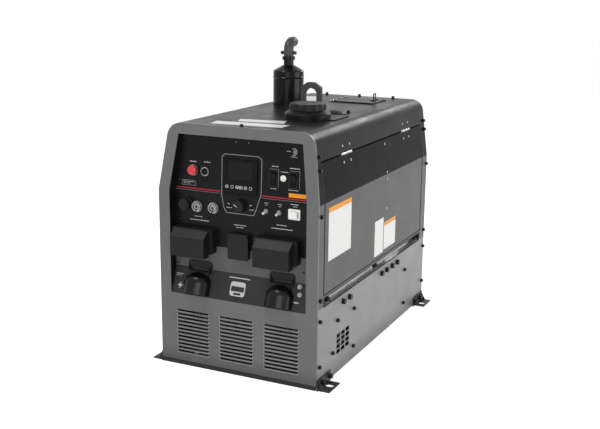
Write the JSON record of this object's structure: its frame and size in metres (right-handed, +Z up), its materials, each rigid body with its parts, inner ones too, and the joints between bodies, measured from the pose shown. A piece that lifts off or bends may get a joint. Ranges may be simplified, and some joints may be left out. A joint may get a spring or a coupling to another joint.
{
  "type": "engine driven welder",
  "caption": "Portable engine driven welding generator: sheet metal enclosure with lift-up side doors, recessed control panel, hooded outlets and output studs, roof muffler and lifting eye.",
  "frame": {"origin": "on the floor, midway between the four foot slots", "axes": "+X to the right side seen from the front, +Y to the rear away from the control face, +Z up"},
  "size_m": [0.628, 1.024, 1.0122],
  "materials": {
    "charcoal_paint": "gloss",
    "grey_paint": "satin",
    "light_grey_paint": "satin",
    "black_paint": "satin",
    "zinc": "plated",
    "exhaust_steel": "aluminised",
    "cast_aluminium": "as cast",
    "engine_black": "gloss",
    "core_steel": "laminated",
    "copper": "varnished",
    "black_plastic": "textured",
    "gloss_black_plastic": "gloss",
    "red_plastic": "gloss",
    "pale_plastic": "gloss",
    "chrome_plate": "polished",
    "brass_metal": "machined",
    "rubber_black": "matte",
    "blower_plastic": "satin"
  },
  "bodies": {
    "case": {"base_frame": "black_paint", "base_sides": "light_grey_paint", "door_frames": "grey_paint", "front_frame": "grey_paint", "rear_panel": "grey_paint", "roof_cover": "charcoal_paint", "hinge_leaves_roof": "zinc", "mounting_feet": "black_paint", "lift_bail": "black_paint", "fuel_tank": "blower_plastic", "filler_flange": "black_plastic", "muffler": "exhaust_steel", "exhaust_pipe": "exhaust_steel", "engine_block": "cast_aluminium", "engine_cylinders": "cast_aluminium", "blower_housing": "blower_plastic", "air_cleaner": "black_plastic", "oil_filter": "gloss_black_plastic", "starter_motor": "engine_black", "generator_stator": "core_steel", "generator_end_bell": "cast_aluminium", "shaft_bearings": "core_steel", "battery": "black_plastic", "isolation_mounts": "rubber_black", "power_module": "engine_black", "control_panel": "black_paint", "output_panel": "grey_paint", "display_module": "gloss_black_plastic", "panel_bezels": "zinc", "indicator_lenses": "pale_plastic", "connectors": "zinc", "breaker_boot": "pale_plastic", "panel_housings": "black_plastic", "output_studs": "brass_metal", "case_fasteners": "zinc"},
    "door_right": {"door_right": "charcoal_paint", "hinge_leaves_door_right": "zinc"},
    "door_left": {"door_left": "charcoal_paint", "hinge_leaves_door_left": "zinc"},
    "crankshaft": {"generator_rotor": "core_steel", "flywheel_fan": "cast_aluminium"},
    "hatch": {"roof_hatch": "charcoal_paint"},
    "latch": {"hatch_latch": "zinc"},
    "cap_insert": {"filler_insert": "black_plastic"},
    "fuel_cap": {"fuel_cap": "black_plastic"},
    "rain_elbow": {"exhaust_elbow": "exhaust_steel", "exhaust_clamp": "zinc"},
    "lid_left": {"lid_left": "black_plastic"},
    "lid_middle": {"lid_middle": "black_plastic"},
    "lid_right": {"lid_right": "black_plastic"},
    "hood_left": {"hood_left": "black_plastic"},
    "hood_right": {"hood_right": "black_plastic"},
    "rocker_left": {"rocker_left": "black_plastic"},
    "rocker_right": {"rocker_right": "black_plastic"},
    "toggle_left": {"toggle_left": "chrome_plate"},
    "toggle_right": {"toggle_right": "chrome_plate"},
    "red_button": {"red_button": "red_plastic"},
    "black_button": {"black_button": "black_plastic"},
    "knob": {"encoder_knob": "black_plastic"},
    "connector_cap": {"connector_cap": "black_plastic"}
  },
  "joints": [
    {"name": "door_right_hinge", "type": "hinge", "parent": "case", "child": "door_right", "pos_m": [0.25603, 0, 0.69125], "axis": [0, -1, 0], "range_deg": [0, 95]},
    {"name": "door_left_hinge", "type": "hinge", "parent": "case", "child": "door_left", "pos_m": [-0.25603, 0, 0.69125], "axis": [0, 1, 0], "range_deg": [0, 95]},
    {"name": "crankshaft_spin", "type": "hinge", "parent": "case", "child": "crankshaft", "pos_m": [0, 0, 0.29], "axis": [0, 1, 0], "continuous": true},
    {"name": "hatch_hinge", "type": "hinge", "parent": "case", "child": "hatch", "pos_m": [-0.0216, 0.335, 0.7823], "axis": [0, -1, 0], "range_deg": [0, 105]},
    {"name": "latch_turn", "type": "hinge", "parent": "hatch", "child": "latch", "pos_m": [0.11, 0.352, 0.778], "axis": [0, 0, 1], "range_deg": [-90, 0]},
    {"name": "cap_lift", "type": "slide", "parent": "case", "child": "cap_insert", "axis": [0, 0, 1], "range_m": [0, 0.06]},
    {"name": "cap_turn", "type": "hinge", "parent": "cap_insert", "child": "fuel_cap", "pos_m": [0.09, -0.183, 0.808], "axis": [0, 0, 1], "continuous": true},
    {"name": "elbow_turn", "type": "hinge", "parent": "case", "child": "rain_elbow", "pos_m": [-0.132, 0.129, 0.955], "axis": [0, 0, 1], "continuous": true},
    {"name": "lid_left_hinge", "type": "hinge", "parent": "case", "child": "lid_left", "pos_m": [-0.1605, -0.4902, 0.452], "axis": [-1, 0, 0], "range_deg": [0, 100]},
    {"name": "lid_right_hinge", "type": "hinge", "parent": "case", "child": "lid_right", "pos_m": [0.1285, -0.4902, 0.452], "axis": [-1, 0, 0], "range_deg": [0, 100]},
    {"name": "lid_middle_hinge", "type": "hinge", "parent": "case", "child": "lid_middle", "pos_m": [-0.002, -0.4782, 0.4496], "axis": [-1, 0, 0], "range_deg": [0, 100]},
    {"name": "hood_left_hinge", "type": "hinge", "parent": "case", "child": "hood_left", "pos_m": [-0.145, -0.47, 0.314], "axis": [-1, 0, 0], "range_deg": [0, 75]},
    {"name": "hood_right_hinge", "type": "hinge", "parent": "case", "child": "hood_right", "pos_m": [0.142, -0.47, 0.314], "axis": [-1, 0, 0], "range_deg": [0, 75]},
    {"name": "rocker_left_rock", "type": "hinge", "parent": "case", "child": "rocker_left", "pos_m": [0.108, -0.4546, 0.63285], "axis": [1, 0, 0], "range_deg": [-18, 0]},
    {"name": "rocker_right_rock", "type": "hinge", "parent": "case", "child": "rocker_right", "pos_m": [0.174, -0.45465, 0.63185], "axis": [1, 0, 0], "range_deg": [-18, 0]},
    {"name": "toggle_left_flip", "type": "hinge", "parent": "case", "child": "toggle_left", "pos_m": [0.086, -0.4635, 0.531], "axis": [1, 0, 0], "range_deg": [-20, 0]},
    {"name": "toggle_right_flip", "type": "hinge", "parent": "case", "child": "toggle_right", "pos_m": [0.13, -0.4635, 0.531], "axis": [1, 0, 0], "range_deg": [-20, 0]},
    {"name": "red_button_press", "type": "slide", "parent": "case", "child": "red_button", "axis": [0, 0.9987, -0.05], "range_m": [0, 0.003], "stiffness_N_per_m": 400, "springref_m": -0.002},
    {"name": "black_button_press", "type": "slide", "parent": "case", "child": "black_button", "axis": [0, 0.9987, -0.05], "range_m": [0, 0.003], "stiffness_N_per_m": 400, "springref_m": -0.002},
    {"name": "knob_turn", "type": "hinge", "parent": "case", "child": "knob", "pos_m": [-0.001, -0.461, 0.539], "axis": [0, -1, 0], "continuous": true},
    {"name": "connector_cap_pull", "type": "slide", "parent": "case", "child": "connector_cap", "axis": [0, -1, 0], "range_m": [0, 0.03]}
  ]
}
